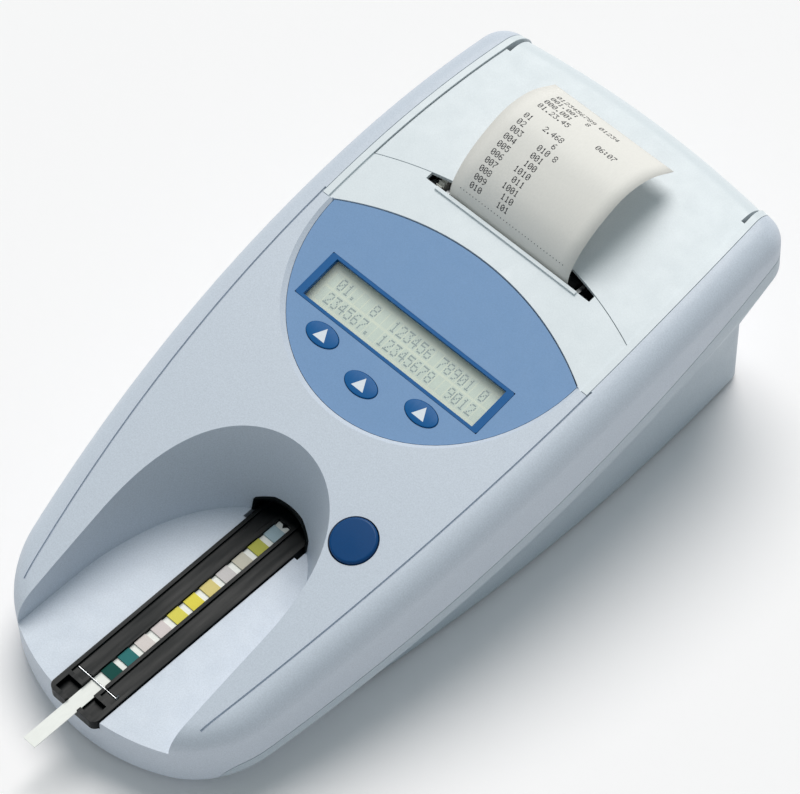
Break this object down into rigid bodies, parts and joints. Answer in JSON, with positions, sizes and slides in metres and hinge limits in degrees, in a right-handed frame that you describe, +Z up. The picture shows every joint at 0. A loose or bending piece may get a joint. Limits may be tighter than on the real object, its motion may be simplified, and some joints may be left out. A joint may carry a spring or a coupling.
{
  "type": "urine analyzer",
  "caption": "Bench-top urine test strip reader with a sliding strip tray in a scooped recess, a blue display panel with keys, and a built-in paper printer under a hinged cover.",
  "frame": {"origin": "on the bench surface, under the middle of the whole part's bounding box, the strip's handle included", "axes": "+X to the right seen from the front, +Y from the nose to the rear, +Z up"},
  "size_m": [0.15, 0.3106, 0.1025],
  "materials": {
    "housing": "fine satin texture",
    "tub": "fine satin texture",
    "printer_lid": "fine satin texture",
    "blue_panel": "satin film",
    "dark_blue": "gloss",
    "window": "clear",
    "lcd": "matt",
    "steel": "brushed",
    "black": "satin",
    "dark_plastic": "moulded",
    "board": "solder mask",
    "rubber": "matt",
    "paper": "thermal paper",
    "strip": "polyester",
    "pads": "absorbent paper",
    "nylon": "moulded",
    "motor": "plated",
    "aluminium": "extruded"
  },
  "bodies": {
    "housing": {"lower_housing": "tub", "upper_housing": "housing", "printer_bridge": "printer_lid", "cover_hinge_pins": "steel", "tray_hood": "black", "display_panel": "blue_panel", "display_frame": "dark_blue", "display_window": "window", "lcd_glass": "lcd", "lcd_frame": "steel", "lcd_board": "board", "keypad_board": "board", "key_domes": "rubber", "start_switch": "dark_plastic", "switch_board": "board", "tray_guide": "dark_plastic", "motor_plate": "steel", "transport_motor": "motor", "head_bracket": "steel", "reading_head": "dark_plastic", "head_lens": "window", "head_board": "board", "printer_chassis": "steel", "printer_motor": "motor", "print_head": "aluminium", "paper_cradle": "dark_plastic", "main_board": "board", "dc_socket": "dark_plastic", "serial_socket": "steel", "service_port": "dark_plastic", "housing_screws": "steel", "rubber_feet": "rubber"},
    "cover": {"printer_cover": "printer_lid", "paper_strip": "paper"},
    "tray": {"strip_tray": "black", "test_strip": "strip", "reagent_pads": "pads", "strip_clip": "steel"},
    "tray_gear": {"transport_gear": "nylon"},
    "tray_motor_pinion": {"motor_pinion": "steel"},
    "start_button": {"start_button": "dark_blue"},
    "left_key": {"soft_key_left": "dark_blue"},
    "middle_key": {"soft_key_middle": "dark_blue"},
    "right_key": {"soft_key_right": "dark_blue"},
    "paper_roll": {"paper_roll": "paper"},
    "platen": {"platen_roller": "rubber", "platen_gear": "nylon"},
    "platen_pinion": {"printer_motor_pinion": "steel"}
  },
  "joints": [
    {"name": "tray_slide", "type": "slide", "parent": "housing", "child": "tray", "axis": [0, 1, 0], "range_m": [0, 0.08]},
    {"name": "tray_gear_turn", "type": "hinge", "parent": "housing", "child": "tray_gear", "pos_m": [-0.0173, -0.0167, 0.024], "axis": [0, 0, 1], "range_deg": [-2, 719]},
    {"name": "tray_motor_turn", "type": "hinge", "parent": "housing", "child": "tray_motor_pinion", "pos_m": [-0.0303, -0.0167, 0.027], "axis": [0, 0, 1], "range_deg": [-2396, 8]},
    {"name": "start_press", "type": "slide", "parent": "housing", "child": "start_button", "axis": [0, 0.2544, -0.9671], "range_m": [0, 0.0015], "stiffness_N_per_m": 600},
    {"name": "left_key_press", "type": "slide", "parent": "housing", "child": "left_key", "axis": [0, 0.1914, -0.9815], "range_m": [0, 0.00035], "stiffness_N_per_m": 900},
    {"name": "middle_key_press", "type": "slide", "parent": "housing", "child": "middle_key", "axis": [0, 0.1914, -0.9815], "range_m": [0, 0.00035], "stiffness_N_per_m": 900},
    {"name": "right_key_press", "type": "slide", "parent": "housing", "child": "right_key", "axis": [0, 0.1914, -0.9815], "range_m": [0, 0.00035], "stiffness_N_per_m": 900},
    {"name": "cover_hinge", "type": "hinge", "parent": "housing", "child": "cover", "pos_m": [0, 0.1458, 0.07652], "axis": [-1, 0, 0], "range_deg": [0, 80]},
    {"name": "paper_roll_turn", "type": "hinge", "parent": "housing", "child": "paper_roll", "pos_m": [0, 0.1188, 0.056], "axis": [1, 0, 0], "continuous": true},
    {"name": "platen_turn", "type": "hinge", "parent": "housing", "child": "platen", "pos_m": [0, 0.0843, 0.07], "axis": [1, 0, 0], "continuous": true},
    {"name": "platen_pinion_turn", "type": "hinge", "parent": "housing", "child": "platen_pinion", "pos_m": [-0.04, 0.0757, 0.06398], "axis": [1, 0, 0], "continuous": true}
  ],
  "couplings": [
    {"joint": "tray_gear_turn", "follows": "tray_slide", "rad_per_m": 156.25},
    {"joint": "tray_motor_turn", "follows": "tray_slide", "rad_per_m": -520.83},
    {"joint": "platen_pinion_turn", "follows": "platen_turn", "ratio": -2.5}
  ]
}
